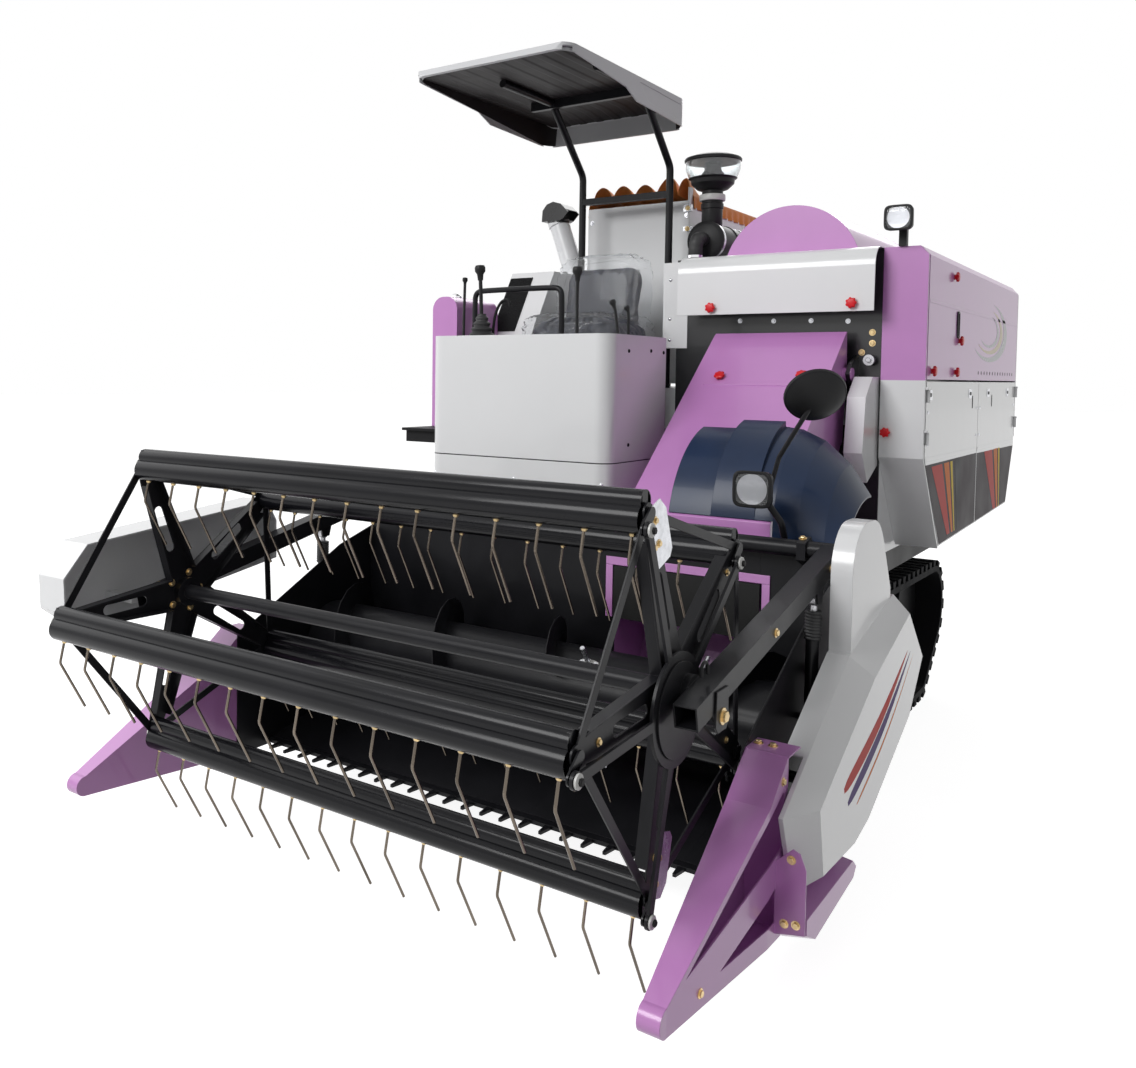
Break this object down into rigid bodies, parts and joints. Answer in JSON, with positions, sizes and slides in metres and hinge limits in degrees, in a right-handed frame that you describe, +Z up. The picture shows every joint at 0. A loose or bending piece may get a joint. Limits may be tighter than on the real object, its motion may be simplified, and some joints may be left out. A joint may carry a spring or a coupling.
{
  "type": "combine harvester",
  "caption": "Tracked combine harvester with a front header, tine reel, auger, sloping feeder house, covered threshing body, grain tank and a canopied operator's place.",
  "frame": {"origin": "on the ground, in the middle of the overall length and width", "axes": "+X to the machine's left, +Y towards its rear, +Z up"},
  "size_m": [2.38, 4.851, 2.905],
  "materials": {
    "purple_paint": "gloss",
    "white_paint": "gloss",
    "black_paint": "satin",
    "frame_paint": "satin",
    "sheet_steel": "satin",
    "guard_blue": "gloss",
    "canopy_plastic": "gloss",
    "tube_plastic": "gloss",
    "black_plastic": "matte",
    "track_rubber": "matte",
    "cast_housing": "matte",
    "seat_vinyl": "satin",
    "tarp_fabric": "matte"
  },
  "bodies": {
    "base": {"chassis_frame": "frame_paint", "track_left": "track_rubber", "track_right": "track_rubber", "track_gear": "frame_paint", "drive_gearbox": "cast_housing", "engine_block": "cast_housing", "engine_cover": "white_paint", "threshing_body": "white_paint", "front_cover": "white_paint", "drum_hood": "purple_paint", "front_strip": "purple_paint", "belt_drive": "frame_paint", "drive_belts": "track_rubber", "angled_guard": "white_paint", "platform": "white_paint", "console": "white_paint", "levers": "black_plastic", "seat_base": "black_paint", "seat": "seat_vinyl", "radiator_case": "white_paint", "right_cover": "purple_paint", "grain_tank": "white_paint", "tank_tarp": "tarp_fabric", "canopy": "canopy_plastic", "canopy_frame": "black_paint", "air_cleaner": "black_plastic", "work_lamp": "black_plastic"},
    "header": {"header_trough": "black_paint", "feeder_house": "purple_paint", "knife_bar": "black_paint", "divider_left": "purple_paint", "divider_right": "purple_paint", "header_cover": "white_paint", "drive_guard": "guard_blue", "lamp_mirror": "black_paint"},
    "auger_rotor": {"auger": "black_paint"},
    "reel_lift_arms": {"reel_arms": "black_paint", "reel_cover": "white_paint"},
    "reel_rotor": {"reel_frame": "black_paint"},
    "control_ring": {"control_frame": "black_paint"},
    "reel_barrels": {"reel_ram_barrels": "black_paint"},
    "reel_rods": {"reel_ram_rods": "sheet_steel"},
    "header_barrel": {"lift_barrel": "black_paint"},
    "header_rod": {"lift_rod": "sheet_steel"},
    "tube": {"unloading_tube": "tube_plastic"},
    "upper_cover": {"side_cover": "purple_paint"},
    "door_front": {"side_door_front": "white_paint"},
    "door_rear": {"side_door_rear": "white_paint"},
    "bar_1": {"tine_bar_1": "black_paint"},
    "bar_2": {"tine_bar_2": "black_paint"},
    "bar_3": {"tine_bar_3": "black_paint"},
    "bar_4": {"tine_bar_4": "black_paint"},
    "bar_5": {"tine_bar_5": "black_paint"}
  },
  "joints": [
    {"name": "header_lift", "type": "hinge", "parent": "base", "child": "header", "pos_m": [0, 0.06, 1.61], "axis": [-1, 0, 0], "range_deg": [-1.5, 14]},
    {"name": "header_ram_turn", "type": "hinge", "parent": "base", "child": "header_barrel", "pos_m": [0.32, -0.06, 0.59], "axis": [-1, 0, 0], "range_deg": [-0.39, 2.67]},
    {"name": "header_ram_stroke", "type": "slide", "parent": "header_barrel", "child": "header_rod", "axis": [0, -0.8668, 0.4987], "range_m": [-0.02655, 0.23112]},
    {"name": "reel_lift", "type": "hinge", "parent": "header", "child": "reel_lift_arms", "pos_m": [0, -0.862, 1.034], "axis": [-1, 0, 0], "range_deg": [0, 22]},
    {"name": "reel_ram_turn", "type": "hinge", "parent": "header", "child": "reel_barrels", "pos_m": [0, -1.1, 0.56], "axis": [-1, 0, 0], "range_deg": [-3.86, 0.11]},
    {"name": "reel_ram_stroke", "type": "slide", "parent": "reel_barrels", "child": "reel_rods", "axis": [0, 0.0219, 0.9998], "range_m": [-0.002, 0.09522]},
    {"name": "reel_spin", "type": "hinge", "parent": "reel_lift_arms", "child": "reel_rotor", "pos_m": [0, -1.88, 0.82], "axis": [1, 0, 0], "continuous": true},
    {"name": "control_spin", "type": "hinge", "parent": "reel_lift_arms", "child": "control_ring", "pos_m": [0.954, -1.92, 0.786], "axis": [1, 0, 0], "continuous": true},
    {"name": "auger_spin", "type": "hinge", "parent": "header", "child": "auger_rotor", "pos_m": [0, -1.075, 0.49], "axis": [1, 0, 0], "continuous": true},
    {"name": "unload_swing", "type": "hinge", "parent": "base", "child": "tube", "pos_m": [-0.545, 0.388, 1.7], "axis": [0, -1, 0], "range_deg": [0, 60]},
    {"name": "side_cover_lift", "type": "hinge", "parent": "base", "child": "upper_cover", "pos_m": [0.88, 1.276, 2.132], "axis": [0, -1, 0], "range_deg": [0, 70]},
    {"name": "door_front_swing", "type": "hinge", "parent": "base", "child": "door_front", "pos_m": [1.055, 0.178, 1.43], "axis": [0, 0, -1], "range_deg": [0, 100]},
    {"name": "door_rear_swing", "type": "hinge", "parent": "base", "child": "door_rear", "pos_m": [1.055, 2.372, 1.43], "axis": [0, 0, 1], "range_deg": [0, 100]},
    {"name": "bar_1_turn", "type": "hinge", "parent": "reel_rotor", "child": "bar_1", "pos_m": [0, -1.50018, 1.12321], "axis": [1, 0, 0], "continuous": true},
    {"name": "bar_2_turn", "type": "hinge", "parent": "reel_rotor", "child": "bar_2", "pos_m": [0, -2.051, 1.27492], "axis": [1, 0, 0], "continuous": true},
    {"name": "bar_3_turn", "type": "hinge", "parent": "reel_rotor", "child": "bar_3", "pos_m": [0, -2.3655, 0.79795], "axis": [1, 0, 0], "continuous": true},
    {"name": "bar_4_turn", "type": "hinge", "parent": "reel_rotor", "child": "bar_4", "pos_m": [0, -2.00906, 0.35145], "axis": [1, 0, 0], "continuous": true},
    {"name": "bar_5_turn", "type": "hinge", "parent": "reel_rotor", "child": "bar_5", "pos_m": [0, -1.47426, 0.55247], "axis": [1, 0, 0], "continuous": true}
  ],
  "couplings": [
    {"joint": "header_ram_turn", "follows": "header_lift", "ratio": 0.18258},
    {"joint": "header_ram_stroke", "follows": "header_lift", "m_per_rad": 0.9377},
    {"joint": "reel_ram_turn", "follows": "reel_lift", "ratio": -0.17013},
    {"joint": "reel_ram_stroke", "follows": "reel_lift", "m_per_rad": 0.24279},
    {"joint": "control_spin", "follows": "reel_spin", "ratio": 1},
    {"joint": "bar_1_turn", "follows": "reel_spin", "ratio": -1},
    {"joint": "bar_2_turn", "follows": "reel_spin", "ratio": -1},
    {"joint": "bar_3_turn", "follows": "reel_spin", "ratio": -1},
    {"joint": "bar_4_turn", "follows": "reel_spin", "ratio": -1},
    {"joint": "bar_5_turn", "follows": "reel_spin", "ratio": -1}
  ]
}
